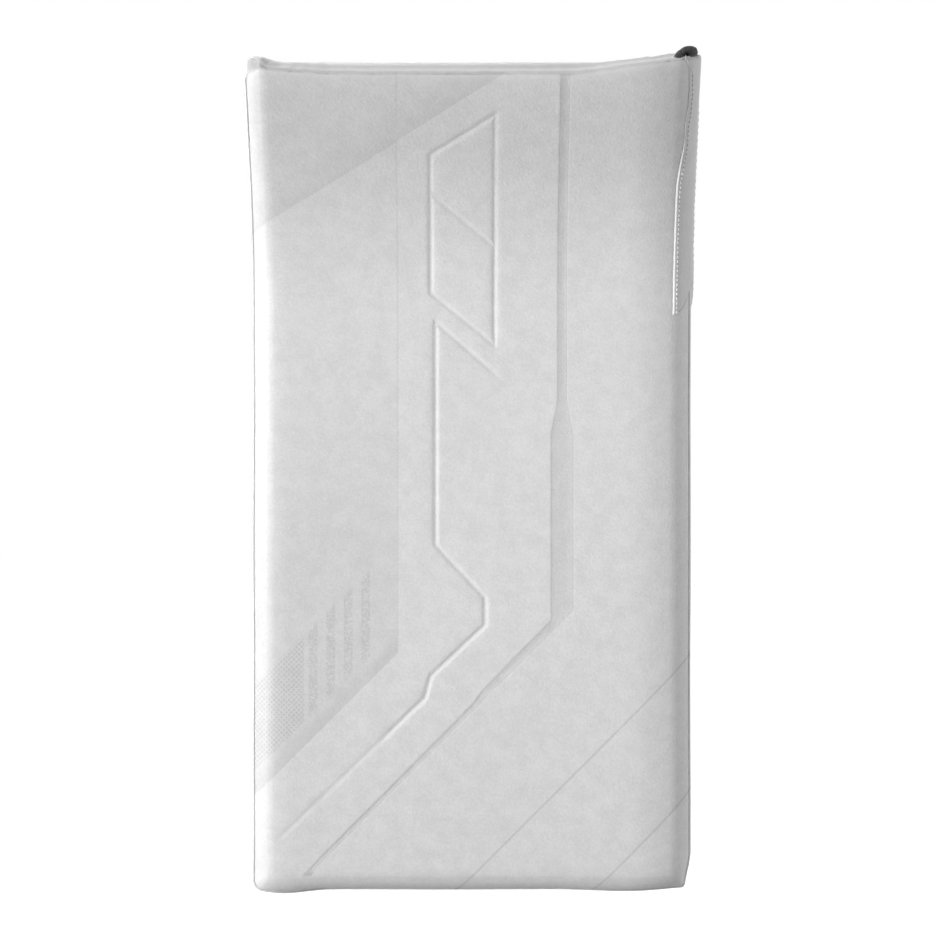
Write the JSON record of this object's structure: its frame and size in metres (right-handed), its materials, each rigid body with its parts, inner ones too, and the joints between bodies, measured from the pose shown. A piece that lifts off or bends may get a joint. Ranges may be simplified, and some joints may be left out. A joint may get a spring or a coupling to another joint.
{
  "type": "goalie blocker",
  "caption": "Left-hand ice hockey goalkeeper's blocker: bent padded board with pressed channels, hinged side flap, and a glove with bending fingers and wrap straps.",
  "frame": {"origin": "centre of the hand space inside the palm", "axes": "+Z to the finger end, blocking face along -Y, thumb and side flap on +X"},
  "size_m": [0.2056, 0.1282, 0.38],
  "materials": {
    "cover_white": "white moulded polyurethane leather, fine pebble",
    "eyelet_black": "black enamelled",
    "foam_grey": "closed-cell foam",
    "glove_black": "woven nylon",
    "glove_leather": "soft leather",
    "guard_white": "padded synthetic leather",
    "lace_black": "braided lace",
    "panel_white": "white synthetic leather",
    "sheet_white": "polyethylene sheet",
    "strap_black": "woven strap",
    "trim_white": "white synthetic leather"
  },
  "bodies": {
    "board_and_glove": {"back_panel": "panel_white", "corner_lace": "lace_black", "cuff_liner": "glove_black", "cuff_pad": "guard_white", "face_cover": "cover_white", "flap_strip": "trim_white", "hand_back": "glove_black", "impact_foam": "foam_grey", "lace_eyelets": "eyelet_black", "liner_foam": "foam_grey", "loop_patches": "strap_black", "palm": "glove_leather", "palm_grip_patch": "glove_black", "rear_binding": "trim_white", "riser_pad": "foam_grey", "stiffener_sheet": "sheet_white", "strap_anchors": "trim_white", "top_gusset": "trim_white"},
    "flap": {"flap_cover": "trim_white", "flap_foam": "foam_grey", "flap_liner": "panel_white"},
    "thumb": {"thumb_stall": "glove_leather", "thumb_guard": "guard_white"},
    "wrist_strap": {"wrist_strap": "strap_black"},
    "cuff_strap": {"cuff_strap": "strap_black"},
    "finger_index": {"finger_index": "glove_leather"},
    "finger_middle": {"finger_middle": "glove_leather"},
    "finger_ring": {"finger_ring": "glove_leather"},
    "finger_little": {"finger_little": "glove_leather"}
  },
  "joints": [
    {"name": "flap_hinge", "type": "hinge", "parent": "board_and_glove", "child": "flap", "pos_m": [0.086, -0.0344, 0.07404], "axis": [0, 0, -1], "range_deg": [0, 25]},
    {"name": "index_finger_bend", "type": "hinge", "parent": "board_and_glove", "child": "finger_index", "pos_m": [0.03997, 0.008, 0.0503], "axis": [-1, 0, 0], "range_deg": [0, 60]},
    {"name": "middle_finger_bend", "type": "hinge", "parent": "board_and_glove", "child": "finger_middle", "pos_m": [0.01333, 0.008, 0.0503], "axis": [-1, 0, 0], "range_deg": [0, 60]},
    {"name": "ring_finger_bend", "type": "hinge", "parent": "board_and_glove", "child": "finger_ring", "pos_m": [-0.01333, 0.008, 0.0503], "axis": [-1, 0, 0], "range_deg": [0, 60]},
    {"name": "little_finger_bend", "type": "hinge", "parent": "board_and_glove", "child": "finger_little", "pos_m": [-0.03997, 0.008, 0.0503], "axis": [-1, 0, 0], "range_deg": [0, 60]},
    {"name": "thumb_bend", "type": "hinge", "parent": "board_and_glove", "child": "thumb", "pos_m": [0.0658, 0.008, -0.0177], "axis": [-1, 0, 0], "range_deg": [0, 35]},
    {"name": "wrist_strap_peel", "type": "hinge", "parent": "board_and_glove", "child": "wrist_strap", "pos_m": [-0.048, 0.0255, -0.068], "axis": [0, 0, 1], "range_deg": [0, 150]},
    {"name": "cuff_strap_peel", "type": "hinge", "parent": "board_and_glove", "child": "cuff_strap", "pos_m": [-0.066, 0.0255, -0.136], "axis": [0, 0, 1], "range_deg": [0, 150]}
  ]
}
